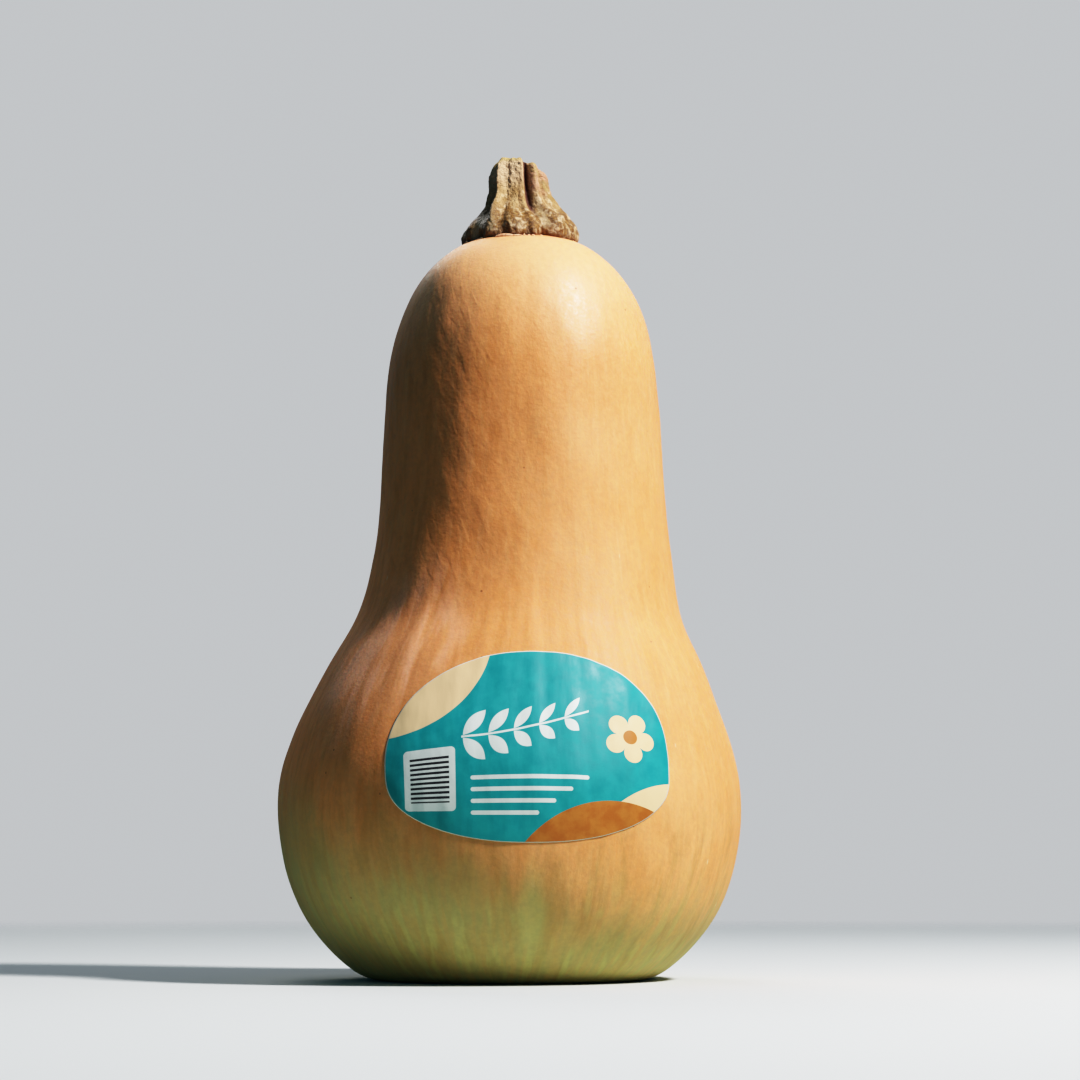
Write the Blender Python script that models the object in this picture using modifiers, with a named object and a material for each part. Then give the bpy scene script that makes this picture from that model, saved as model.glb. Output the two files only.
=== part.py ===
"""A butternut squash standing on its blossom end, with its dry cut stem and a paper label.

Metres, +Z up. The origin is on the table, under the middle of the squash's bounding box.
The label faces -Y.
"""

import math

import bmesh
import bpy
import numpy as np
from mathutils import Vector, noise

MM = 0.001

# Outline of the blossom end: (height, radius) from the scar in its shallow hollow to the ring
# that the squash stands on.
BASE_OUTLINE = [
    (2.3, 0.0),
    (1.8, 9.0),
    (0.6, 17.5),
    (0.0, 23.0),
]
BASE_RINGS = 6

# Outline of the flank, from the ring's outer edge round the bulb and up the neck to the crown.
FLANK_OUTLINE = [
    (0.0, 31.5),
    (0.7, 35.2),
    (3.6, 40.1),
    (9.3, 45.9),
    (17.0, 51.3),
    (27.0, 55.3),
    (41.5, 57.1),
    (54.0, 55.4),
    (68.0, 50.8),
    (80.0, 45.1),
    (88.0, 41.0),
    (98.0, 38.2),
    (115.0, 35.8),
    (140.0, 34.3),
    (153.0, 33.3),
    (165.0, 30.4),
    (174.0, 26.1),
    (180.5, 20.0),
    (183.5, 15.1),
    (184.8, 10.5),
    (185.2, 0.0),
]
FLANK_RINGS = 41
SKIN_SEGMENTS = 64

# The neck stands to the right of the bulb and leans slightly back.
LEAN_RIGHT = 3.1 * MM
LEAN_BACK = 1.4 * MM
LEAN_FROM = 53 * MM
LEAN_TO = 106 * MM

# Soft lengthwise lobes, and the slow hollows and swellings of the skin.
LOBES = 5
LOBE_DEPTH = 0.006
LOBE_TURN = math.radians(18)
OVAL = 0.008
LUMP_HEIGHT = 0.7 * MM
LUMP_ACROSS = 2.1
LUMP_LENGTH = 42 * MM
LUMP_FADE = 0.42
LUMP_FULL_RADIUS = 20 * MM

# Stem outline: (height above the crown, radius), from the foot's rim to the cut top.
STEM_OUTLINE = [
    (0.0, 13.9),
    (0.8, 14.8),
    (2.2, 14.9),
    (4.0, 13.5),
    (5.9, 11.2),
    (8.0, 9.6),
    (11.4, 8.5),
    (15.0, 8.2),
    (18.4, 7.9),
    (19.7, 7.4),
    (20.2, 6.4),
]
STEM_RINGS = 24
STEM_SEGMENTS = 60
STEM_CENTRE = (2.5 * MM, 1.4 * MM)
STEM_LEAN = -0.5 * MM
STEM_TWIST = math.radians(-8)
FOOT_HEIGHT = 9 * MM

# The flare above the foot reaches further out on the right.
FLARE_RIGHT = 1.4 * MM
FLARE_MIDDLE = 7 * MM
FLARE_LENGTH = 4.5 * MM

# Grooves down the stem: (direction, share of the radius, half width), the angles in degrees.
# A direction of 0 faces the front, and 90 the right.
STEM_GROOVES = [
    (17, 0.25, 8),
    (47, 0.11, 5),
    (88, 0.17, 11),
    (124, 0.08, 6),
    (160, 0.20, 10),
    (196, 0.08, 6),
    (230, 0.19, 11),
    (264, 0.07, 6),
    (300, 0.17, 13),
    (338, 0.04, 6),
]
FOOT_GROOVE_SHARE = 0.65

# The cut top: its pith is hollow, it is lower on the right, and its left corner is worn off.
PITH_DEPTH = 1.2 * MM
CUT_DROP = 2.2 * MM
CUT_FROM = 1.2 * MM
CUT_TO = 4.6 * MM
CORNER_DROP = 1.3 * MM
CORNER_FROM = 4.2 * MM
CORNER_TO = 7.0 * MM
CUT_LENGTH = 8 * MM

# Label: a sheet with a round top and a flatter bottom, laid round the front of the bulb.
LABEL_HALF_WIDTH = 35.4 * MM
LABEL_ABOVE = 29.0 * MM
LABEL_BELOW = 17.9 * MM
LABEL_TOP_SQUARENESS = 2.5
LABEL_BOTTOM_SQUARENESS = 2.45
LABEL_DIRECTION = math.radians(5.9 - 90)
LABEL_MIDDLE_HEIGHT = 51.1 * MM
LABEL_RINGS = 7
LABEL_SEGMENTS = 48
LABEL_THICKNESS = 0.4 * MM

TOUCHING_GAP = 0.3 * MM
WELD = 1e-6


def clear_scene():
    for old in list(bpy.data.objects):
        bpy.data.objects.remove(old)


def smooth_line(points, count):
    """`count` points along a natural cubic spline through the given points."""
    points = np.array(points, float)
    steps = np.linalg.norm(np.diff(points, axis=0), axis=1)
    along = np.concatenate([[0], np.cumsum(steps)])
    size = len(points)
    system = np.eye(size)
    wanted = np.zeros((size, points.shape[1]))
    for i in range(1, size - 1):
        before, after = steps[i - 1], steps[i]
        system[i, i - 1 : i + 2] = before, 2 * (before + after), after
        wanted[i] = 6 * (
            (points[i + 1] - points[i]) / after - (points[i] - points[i - 1]) / before
        )
    bend = np.linalg.solve(system, wanted)

    def at(distance):
        i = np.clip(np.searchsorted(along, distance) - 1, 0, size - 2)
        step = steps[i][:, None]
        right = (distance - along[i])[:, None] / step
        left = 1 - right
        line = left * points[i] + right * points[i + 1]
        curve = (left**3 - left) * bend[i] + (right**3 - right) * bend[i + 1]
        return line + curve * step**2 / 6

    return at(np.linspace(0, along[-1], count))


def smoothstep(value, low, high):
    share = min(max((value - low) / (high - low), 0), 1)
    return share * share * (3 - 2 * share)


def skin_outline(base_count, flank_count):
    """The whole turned outline as (height, radius), with the flat ring between its two curves."""
    base = smooth_line(BASE_OUTLINE, base_count)
    flank = smooth_line(FLANK_OUTLINE, flank_count)
    return np.concatenate([base, flank]) * MM


BASE_STEPS = 120
FLANK_STEPS = 1200
SKIN_LINE = skin_outline(BASE_STEPS, FLANK_STEPS)
SKIN_ALONG = np.concatenate(
    [[0], np.cumsum(np.linalg.norm(np.diff(SKIN_LINE, axis=0), axis=1))]
)
SKIN_TOP = float(SKIN_LINE[:, 0].max())
STEM_HEIGHT = STEM_OUTLINE[-1][0] * MM
LABEL_MIDDLE = float(
    np.interp(LABEL_MIDDLE_HEIGHT, SKIN_LINE[BASE_STEPS:, 0], SKIN_ALONG[BASE_STEPS:])
)


def crown_height(radius):
    """Height of the turned skin on the crown, inside the shoulder."""
    crown = SKIN_LINE[SKIN_LINE[:, 0] > LEAN_TO][::-1]
    return float(np.interp(radius, crown[:, 1], crown[:, 0]))


def lean_at(height):
    share = smoothstep(height, LEAN_FROM, LEAN_TO)
    return Vector((LEAN_RIGHT * share, LEAN_BACK * share, 0))


def skin_point(angle, radius, height):
    """Where the point of the turned outline at this angle lies on the real, uneven squash."""
    flank = math.sin(math.pi * min(max(height / SKIN_TOP, 0), 1)) ** LUMP_FADE
    lobes = LOBE_DEPTH * math.cos(LOBES * (angle - LOBE_TURN)) * flank
    oval = OVAL * math.cos(2 * angle) * flank
    place = Vector((math.cos(angle), math.sin(angle), height / LUMP_LENGTH * LUMP_ACROSS))
    place.x *= LUMP_ACROSS
    place.y *= LUMP_ACROSS
    lump = LUMP_HEIGHT * noise.noise(place) * flank
    out = radius * (1 + lobes + oval) + lump * min(radius / LUMP_FULL_RADIUS, 1)
    centre = lean_at(height)
    return centre + Vector((math.cos(angle) * out, math.sin(angle) * out, max(height, 0)))


def skin_at(angle, along):
    """The skin's point at this angle and this far along the outline from the blossom scar."""
    height = float(np.interp(along, SKIN_ALONG, SKIN_LINE[:, 0]))
    radius = float(np.interp(along, SKIN_ALONG, SKIN_LINE[:, 1]))
    return skin_point(angle, radius, height), radius


def above_skin(angle, along, gap):
    """The point at a small gap straight out from the skin."""
    step = 1 * MM
    point, radius = skin_at(angle, along)
    turn = step / radius
    across = skin_at(angle + turn, along)[0] - skin_at(angle - turn, along)[0]
    up = skin_at(angle, along + step)[0] - skin_at(angle, along - step)[0]
    return point + across.cross(up).normalized() * gap


def turned_mesh(outline, segments):
    """A bmesh turned about Z from an outline of (height, radius) points."""
    mesh = bmesh.new()
    line = [mesh.verts.new((radius, 0, height)) for height, radius in outline]
    edges = [mesh.edges.new(ends) for ends in zip(line, line[1:])]
    bmesh.ops.spin(
        mesh,
        geom=line + edges,
        cent=(0, 0, 0),
        axis=(0, 0, 1),
        angle=2 * math.pi,
        steps=segments,
        use_merge=True,
    )
    bmesh.ops.remove_doubles(mesh, verts=mesh.verts, dist=WELD)
    return mesh


def move_points(mesh, rule):
    """Moves each point of a turned bmesh to where rule(angle, radius, height) puts it."""
    for vert in mesh.verts:
        radius = math.hypot(vert.co.x, vert.co.y)
        vert.co = rule(math.atan2(vert.co.y, vert.co.x), radius, vert.co.z)


def add_object(name, mesh, material, collection):
    data = bpy.data.meshes.new(name)
    mesh.to_mesh(data)
    mesh.free()
    data.shade_smooth()
    data.materials.append(material)
    made = bpy.data.objects.new(name, data)
    collection.objects.link(made)
    return made


def plain_material(name, colour, roughness):
    material = bpy.data.materials.new(name)
    material.use_nodes = True
    shader = material.node_tree.nodes["Principled BSDF"]
    shader.inputs["Base Color"].default_value = (*colour, 1)
    shader.inputs["Roughness"].default_value = roughness
    shader.inputs["Metallic"].default_value = 0
    return material


def make_squash(collection):
    mesh = turned_mesh(skin_outline(BASE_RINGS, FLANK_RINGS), SKIN_SEGMENTS)
    move_points(mesh, skin_point)
    bmesh.ops.recalc_face_normals(mesh, faces=mesh.faces)
    skin = plain_material("squash_skin", (0.74, 0.40, 0.14), 0.42)
    return add_object("squash_body", mesh, skin, collection)


def groove_at(direction):
    """Share of the stem's radius that its grooves take away in a direction, in degrees."""
    taken = 0
    for middle, depth, half_width in STEM_GROOVES:
        off = (direction - middle + 180) % 360 - 180
        taken += depth * math.exp(-((off / half_width) ** 2))
    return taken


def stem_point(angle, radius, height):
    """A point of the stem, from the turned outline with its foot at height 0."""
    upright = smoothstep(height, 0, FOOT_HEIGHT)
    direction = math.degrees(angle + STEM_TWIST * (1 - upright)) + 90
    share = FOOT_GROOVE_SHARE + (1 - FOOT_GROOVE_SHARE) * upright
    out = radius * (1 - groove_at(direction) * share)
    across = math.cos(angle) * out
    flare = FLARE_RIGHT * math.exp(-(((height - FLARE_MIDDLE) / FLARE_LENGTH) ** 2))
    if across > 0:
        across += flare * across / radius
    lowered = CUT_DROP * smoothstep(across, CUT_FROM, CUT_TO)
    lowered += CORNER_DROP * smoothstep(-across, CORNER_FROM, CORNER_TO)
    lowered *= smoothstep(height, STEM_HEIGHT - CUT_LENGTH, STEM_HEIGHT)
    x = STEM_CENTRE[0] + across + STEM_LEAN * height / STEM_HEIGHT
    y = STEM_CENTRE[1] + math.sin(angle) * out
    seat = crown_height(math.hypot(x - LEAN_RIGHT, y - LEAN_BACK))
    level = seat * (1 - upright) + SKIN_TOP * upright + TOUCHING_GAP
    return Vector((x, y, height - lowered + level))


def make_stem(collection):
    side = smooth_line(STEM_OUTLINE, STEM_RINGS) * MM
    foot_radius, top_radius = side[0, 1], side[-1, 1]
    foot = [(0, foot_radius * share) for share in (0, 0.35, 0.7)]
    cut = [
        (STEM_HEIGHT - PITH_DEPTH * (1 - share**2), top_radius * share)
        for share in (0.75, 0.4, 0)
    ]
    mesh = turned_mesh([*foot, *side, *cut], STEM_SEGMENTS)
    move_points(mesh, stem_point)
    bmesh.ops.recalc_face_normals(mesh, faces=mesh.faces)
    wood = plain_material("stem_wood", (0.42, 0.28, 0.13), 0.85)
    return add_object("stem", mesh, wood, collection)


def label_edge(angle):
    """The flat label's outline as (across, up) from the middle of its widest line."""
    across, up = math.cos(angle), math.sin(angle)
    power = LABEL_TOP_SQUARENESS if up > 0 else LABEL_BOTTOM_SQUARENESS
    half_height = LABEL_ABOVE if up > 0 else LABEL_BELOW
    scale = (abs(across) ** power + abs(up) ** power) ** (-1 / power)
    return LABEL_HALF_WIDTH * across * scale, half_height * up * scale


def label_on_skin(across, up, gap):
    """Where a point of the flat label lies once it is smoothed onto the skin."""
    along = LABEL_MIDDLE + up
    step = 1 * MM
    radius = skin_at(0, along)[1]
    narrowing = (skin_at(0, along + step)[1] - radius) / step
    along += across**2 / 2 * narrowing / radius
    return above_skin(LABEL_DIRECTION + across / radius, along, gap)


def label_point(angle, share, _):
    """A point of the label's inner face, at a share of the way from its middle to its edge."""
    across, up = label_edge(angle)
    return label_on_skin(across * share, up * share, TOUCHING_GAP)


def make_label(collection):
    rays = [(0, i / LABEL_RINGS) for i in range(LABEL_RINGS + 1)]
    mesh = turned_mesh(rays, LABEL_SEGMENTS)
    move_points(mesh, label_point)
    bmesh.ops.recalc_face_normals(mesh, faces=mesh.faces)
    paper = plain_material("label_paper", (0.0, 0.32, 0.35), 0.45)
    label = add_object("label", mesh, paper, collection)
    thick = label.modifiers.new("paper thickness", "SOLIDIFY")
    thick.thickness = LABEL_THICKNESS
    thick.offset = 1
    return label


def main():
    clear_scene()
    collection = bpy.data.collections.new("butternut_squash")
    bpy.context.scene.collection.children.link(collection)
    make_squash(collection)
    make_stem(collection)
    make_label(collection)


main()
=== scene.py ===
"""Looks of the butternut squash: its skin, dry stem and printed label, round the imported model.

Metres, +Z up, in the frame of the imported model. The label faces -Y.
"""

import math

import bpy
import numpy as np
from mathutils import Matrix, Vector, noise


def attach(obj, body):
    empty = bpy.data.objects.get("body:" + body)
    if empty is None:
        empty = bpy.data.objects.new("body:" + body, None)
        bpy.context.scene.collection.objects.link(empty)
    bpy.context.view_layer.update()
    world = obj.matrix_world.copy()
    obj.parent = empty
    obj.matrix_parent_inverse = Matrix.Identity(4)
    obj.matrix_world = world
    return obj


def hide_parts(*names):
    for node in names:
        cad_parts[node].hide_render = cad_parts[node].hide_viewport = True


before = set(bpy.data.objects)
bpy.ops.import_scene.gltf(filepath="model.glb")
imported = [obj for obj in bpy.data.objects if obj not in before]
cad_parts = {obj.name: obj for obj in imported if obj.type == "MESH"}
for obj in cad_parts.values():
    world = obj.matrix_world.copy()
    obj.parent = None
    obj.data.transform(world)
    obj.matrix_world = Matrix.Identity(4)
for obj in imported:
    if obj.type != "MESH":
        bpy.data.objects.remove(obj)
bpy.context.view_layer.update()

MM = 0.001
CM_PER_M = 100

# Camera, at the photograph's viewing angle: it stands low in front, a little to the right.
CAMERA_PLACE = (7.5 * MM, -0.8, 28 * MM)
CAMERA_AIM_HEIGHT = 109 * MM
CAMERA_LENS = 107.2

# Light: a soft round lamp on the right and above, weak ones behind and overhead, and a dim room
# with a pale backdrop. A lamp is (name, direction in degrees, distance across the floor, height,
# width, watts, colour). A direction of 0 is where the camera stands, and 90 is the right.
LAMPS = [
    ("soft_lamp", 59, 0.60, 0.71, 0.13, 13.2, (1.0, 0.985, 0.96)),
    ("back_lamp", -165, 0.80, 0.80, 0.60, 3.0, (1.0, 0.96, 0.90)),
    ("top_lamp", -90, 0.10, 0.95, 0.25, 0.5, (1.0, 0.97, 0.92)),
]
LAMP_TARGET_HEIGHT = 0.11
ROOM_FILL = (0.024, 0.085, 0.125)
BACKDROP = (0.56, 0.58, 0.60)

# The floor ends in a soft edge as far behind the squash as the photograph's table does.
FLOOR_RADIUS = 0.93
FLOOR_FADE = 0.45
FLOOR_COLOUR = (0.66, 0.67, 0.68)

# The floor lights the squash from below most strongly near it, as a small table would.
BOUNCE_NEAR = (0.58, 0.72, 0.60)
BOUNCE_FAR = (0.08, 0.08, 0.08)
BOUNCE_FROM = 0.06
BOUNCE_TO = 0.20

# The picture's brightness: darks a little deeper than the light's, then about equal to it up to
# the middle, then flattened towards white. The points are (light, picture), and the last light is
# the brightest that the picture shows.
TONES = [
    (0.0, 0.0), (0.03, 0.017), (0.09, 0.066), (0.2, 0.185), (0.4, 0.405), (0.62, 0.59),
    (0.85, 0.73), (1.15, 0.84), (1.5, 0.905), (2.2, 0.97), (3.0, 1.0),
]

# The solids' dimensions, as in the model: outline points are (height, radius) in millimetres.
BASE_OUTLINE = [(2.3, 0.0), (1.8, 9.0), (0.6, 17.5), (0.0, 23.0)]
FLANK_OUTLINE = [
    (0.0, 31.5), (0.7, 35.2), (3.6, 40.1), (9.3, 45.9), (17.0, 51.3), (27.0, 55.3), (41.5, 57.1),
    (54.0, 55.4), (68.0, 50.8), (80.0, 45.1), (88.0, 41.0), (98.0, 38.2), (115.0, 35.8),
    (140.0, 34.3), (153.0, 33.3), (165.0, 30.4), (174.0, 26.1), (180.5, 20.0), (183.5, 15.1),
    (184.8, 10.5), (185.2, 0.0),
]
LEAN_RIGHT = 3.1 * MM
LEAN_BACK = 1.4 * MM
LEAN_FROM = 53 * MM
LEAN_TO = 106 * MM
LOBES = 5
LOBE_DEPTH = 0.006
LOBE_TURN = math.radians(18)
OVAL = 0.008
LUMP_HEIGHT = 0.7 * MM
LUMP_ACROSS = 2.1
LUMP_LENGTH = 42 * MM
LUMP_FADE = 0.42
LUMP_FULL_RADIUS = 20 * MM

STEM_OUTLINE = [
    (0.0, 13.9), (0.8, 14.8), (2.2, 14.9), (4.0, 13.5), (5.9, 11.2), (8.0, 9.6), (11.4, 8.5),
    (15.0, 8.2), (18.4, 7.9), (19.7, 7.4), (20.2, 6.4),
]
STEM_HEIGHT = STEM_OUTLINE[-1][0] * MM
STEM_CENTRE = (2.5 * MM, 1.4 * MM)
STEM_LEAN = -0.5 * MM
STEM_TWIST = -8
FOOT_HEIGHT = 9 * MM
FLARE_RIGHT = 1.4 * MM
FLARE_MIDDLE = 7 * MM
FLARE_LENGTH = 4.5 * MM

# Grooves: (direction, share of the radius, half width), the angles in degrees. A direction of 0
# faces the front, and 90 the right.
STEM_GROOVES = [
    (17, 0.25, 8), (47, 0.11, 5), (88, 0.17, 11), (124, 0.08, 6), (160, 0.20, 10), (196, 0.08, 6),
    (230, 0.19, 11), (264, 0.07, 6), (300, 0.17, 13), (338, 0.04, 6),
]
FOOT_GROOVE_SHARE = 0.65
PITH_DEPTH = 1.2 * MM

LABEL_HALF_WIDTH = 35.4 * MM
LABEL_ABOVE = 29.0 * MM
LABEL_BELOW = 17.9 * MM
LABEL_TOP_SQUARENESS = 2.5
LABEL_BOTTOM_SQUARENESS = 2.45
LABEL_DIRECTION = math.radians(5.9 - 90)
LABEL_MIDDLE_HEIGHT = 51.1 * MM

# Fineness of the skin's outline and of the meshes made here.
BASE_STEPS = 120
FLANK_STEPS = 1200
SKIN_BASE_RINGS = 30
SKIN_CONTACT_RINGS = 8
SKIN_FLANK_RINGS = 252
SKIN_SEGMENTS = 336
STEM_FOOT_RINGS = 8
STEM_SIDE_RINGS = 150
STEM_CUT_RINGS = 22
STEM_SEGMENTS = 360
LABEL_RINGS = 44
LABEL_BACK_RINGS = 8
LABEL_SEGMENTS = 260


def smooth_line(points, count):
    """`count` points along a natural cubic spline through the given points."""
    points = np.array(points, float)
    steps = np.linalg.norm(np.diff(points, axis=0), axis=1)
    along = np.concatenate([[0], np.cumsum(steps)])
    size = len(points)
    system = np.eye(size)
    wanted = np.zeros((size, points.shape[1]))
    for i in range(1, size - 1):
        before, after = steps[i - 1], steps[i]
        system[i, i - 1 : i + 2] = before, 2 * (before + after), after
        wanted[i] = 6 * (
            (points[i + 1] - points[i]) / after - (points[i] - points[i - 1]) / before
        )
    bend = np.linalg.solve(system, wanted)

    def at(distance):
        i = np.clip(np.searchsorted(along, distance) - 1, 0, size - 2)
        step = steps[i][:, None]
        right = (distance - along[i])[:, None] / step
        left = 1 - right
        line = left * points[i] + right * points[i + 1]
        curve = (left**3 - left) * bend[i] + (right**3 - right) * bend[i + 1]
        return line + curve * step**2 / 6

    return at(np.linspace(0, along[-1], count))


def smoothstep(value, low, high):
    """A smooth rise from 0 to 1 while value goes from low to high."""
    share = np.clip((np.asarray(value, float) - low) / (high - low), 0, 1)
    return share * share * (3 - 2 * share)


def noise_at(x, y, z):
    """Perlin noise, about -1 to 1, at each point of three arrays."""
    x, y, z = np.broadcast_arrays(x, y, z)
    values = [noise.noise(place) for place in zip(x.ravel(), y.ravel(), z.ravel())]
    return np.array(values).reshape(x.shape)


def round_noise(angle, features, height):
    """Noise that closes on itself all the way round, with more features for a larger number."""
    return noise_at(np.cos(angle) * features, np.sin(angle) * features, height)


# The skin's outline as (height, radius), and the length along it from the blossom scar.
SKIN_LINE = np.concatenate(
    [smooth_line(BASE_OUTLINE, BASE_STEPS) * MM, smooth_line(FLANK_OUTLINE, FLANK_STEPS) * MM]
)
SKIN_STEPS = np.linalg.norm(np.diff(SKIN_LINE, axis=0), axis=1)
SKIN_ALONG = np.concatenate([[0], np.cumsum(SKIN_STEPS)])
SKIN_TOP = float(SKIN_LINE[:, 0].max())
LABEL_MIDDLE = float(
    np.interp(LABEL_MIDDLE_HEIGHT, SKIN_LINE[BASE_STEPS:, 0], SKIN_ALONG[BASE_STEPS:])
)


def crown_height(radius):
    """The height of the crown at this distance from the neck's own middle."""
    crown = SKIN_LINE[SKIN_LINE[:, 0] > LEAN_TO][::-1]
    return np.interp(radius, crown[:, 1], crown[:, 0])


def skin_points(angle, radius, height):
    """Where points of the turned outline lie on the real, uneven squash: the solid's own rule."""
    angle, radius, height = np.broadcast_arrays(angle, radius, height)
    cos, sin = np.cos(angle), np.sin(angle)
    flank = np.sin(math.pi * np.clip(height / SKIN_TOP, 0, 1)) ** LUMP_FADE
    lobes = LOBE_DEPTH * np.cos(LOBES * (angle - LOBE_TURN)) * flank
    oval = OVAL * np.cos(2 * angle) * flank
    lump = round_noise(angle, LUMP_ACROSS, height / LUMP_LENGTH * LUMP_ACROSS)
    lump = lump * LUMP_HEIGHT * flank
    out = radius * (1 + lobes + oval) + lump * np.minimum(radius / LUMP_FULL_RADIUS, 1)
    share = smoothstep(height, LEAN_FROM, LEAN_TO)
    x = LEAN_RIGHT * share + cos * out
    y = LEAN_BACK * share + sin * out
    return np.stack([x, y, np.maximum(height, 0)], axis=-1)


def skin_surface(angle, along):
    """The skin's points and outward directions at these angles and lengths from the scar."""

    def at(turn, length):
        height = np.interp(length, SKIN_ALONG, SKIN_LINE[:, 0])
        radius = np.interp(length, SKIN_ALONG, SKIN_LINE[:, 1])
        return skin_points(turn, radius, height)

    angle, along = np.broadcast_arrays(angle, along)
    step = 0.5 * MM
    turn = 0.01
    inner = np.clip(along, step, SKIN_ALONG[-1] - step)
    across = at(angle + turn, inner) - at(angle - turn, inner)
    up = at(angle, inner + step) - at(angle, inner - step)
    out = np.cross(across, up)
    out /= np.linalg.norm(out, axis=-1, keepdims=True)
    return at(angle, along), out


# Fine relief of the skin. Each kind has its height, how many features go round, its length and
# the heights on the squash between which it rises to full strength and fades again.
DENTS = (0.045 * MM, 15, 5 * MM, (84 * MM, 108 * MM, 172 * MM, 184 * MM))
SWELLS = (0.15 * MM, 6.5, 11 * MM, (6 * MM, 30 * MM, 160 * MM, 182 * MM))
RIBS = (0.22 * MM, 16, 60 * MM, (26 * MM, 50 * MM, 84 * MM, 104 * MM))
RIPPLES = (0.02 * MM, 25, 6 * MM, (8 * MM, 24 * MM, 160 * MM, 180 * MM))

# How far the dents lean: the turn round the squash, in radians, for each metre along it.
DENT_SLANT = 10

# The share of its height by which each kind is let into the skin, so that its crests stay inside
# the solid's own size.
RELIEF_SINK = 0.5
SCAR_RADIUS = 5.2 * MM
SCAR_HEIGHT = 0.8 * MM
SCAR_DIP_RADIUS = 1.6 * MM

# The radius of the circle, in centimetres, round which patterns of the skin are laid out, and
# the distances from the stem's middle over which the skin's dark reddish rim, painted shade
# where the stem sits, fades.
PATTERN_RADIUS = 4.5
STEM_RIM_SHADE_REACH = (13.5 * MM, 16.0 * MM)


def skin_relief(angle, along):
    """Height of the fine relief above the smooth skin."""
    height = np.interp(along, SKIN_ALONG, SKIN_LINE[:, 0])
    relief = 0
    for kind, slant in ((DENTS, DENT_SLANT), (SWELLS, 0), (RIBS, 0), (RIPPLES, -DENT_SLANT)):
        depth, features, length, (start, full, fading, end) = kind
        shown = smoothstep(height, start, full) * (1 - smoothstep(height, fading, end))
        rough = round_noise(angle + slant * along, features, along / length + features)
        relief = relief + depth * shown * (rough - RELIEF_SINK)
    cracks = round_noise(angle, 3.2, along / (1.3 * MM))
    cork = 1 - smoothstep(along, SCAR_RADIUS * 0.75, SCAR_RADIUS)
    dip = 1 - smoothstep(along, 0, SCAR_DIP_RADIUS)
    return relief - SCAR_HEIGHT * cork * (0.75 + 0.3 * cracks - 0.7 * dip)


def grid_faces(rings, segments, first=0):
    """Quads between closed rings of points that are numbered ring by ring."""
    ring, segment = np.meshgrid(np.arange(rings - 1), np.arange(segments), indexing="ij")
    here = first + ring * segments + segment
    beside = first + ring * segments + (segment + 1) % segments
    quads = np.stack([here, beside, beside + segments, here + segments], axis=-1)
    return quads.reshape(-1, 4).tolist()


def fan_faces(pole, ring_start, segments, outward):
    """Triangles from one point to a closed ring."""
    fans = []
    for i in range(segments):
        here, beside = ring_start + i, ring_start + (i + 1) % segments
        fans.append((pole, here, beside) if outward else (pole, beside, here))
    return fans


def turned_mesh(name, rings, poles):
    """A closed mesh from an array of rings by segments by 3, between two poles."""
    ring_count, segments = rings.shape[:2]
    points = np.concatenate([rings.reshape(-1, 3), poles])
    first = ring_count * segments
    faces = grid_faces(ring_count, segments)
    faces += fan_faces(first, 0, segments, outward=False)
    faces += fan_faces(first + 1, first - segments, segments, outward=True)
    mesh = bpy.data.meshes.new(name)
    mesh.from_pydata(points.tolist(), [], faces)
    mesh.shade_smooth()
    return mesh


def add_values(mesh, name, values, at_poles):
    """Stores a number, or a place, for each point of a turned mesh, for its material to read."""
    kind, key, shape = "FLOAT", "value", -1
    if np.ndim(at_poles) == 2:
        kind, key, shape = "FLOAT_VECTOR", "vector", (-1, 3)
    values = np.concatenate([values.reshape(shape), at_poles])
    attribute = mesh.attributes.new(name, kind, "POINT")
    attribute.data.foreach_set(key, values.astype(np.float32).ravel())


def add_piece(name, mesh, material, slot, *nodes):
    piece = bpy.data.objects.new(name, mesh)
    bpy.context.scene.collection.objects.link(piece)
    mesh.materials.append(material)
    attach(piece, "root")
    if nodes:
        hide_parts(*nodes)
    return piece


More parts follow.
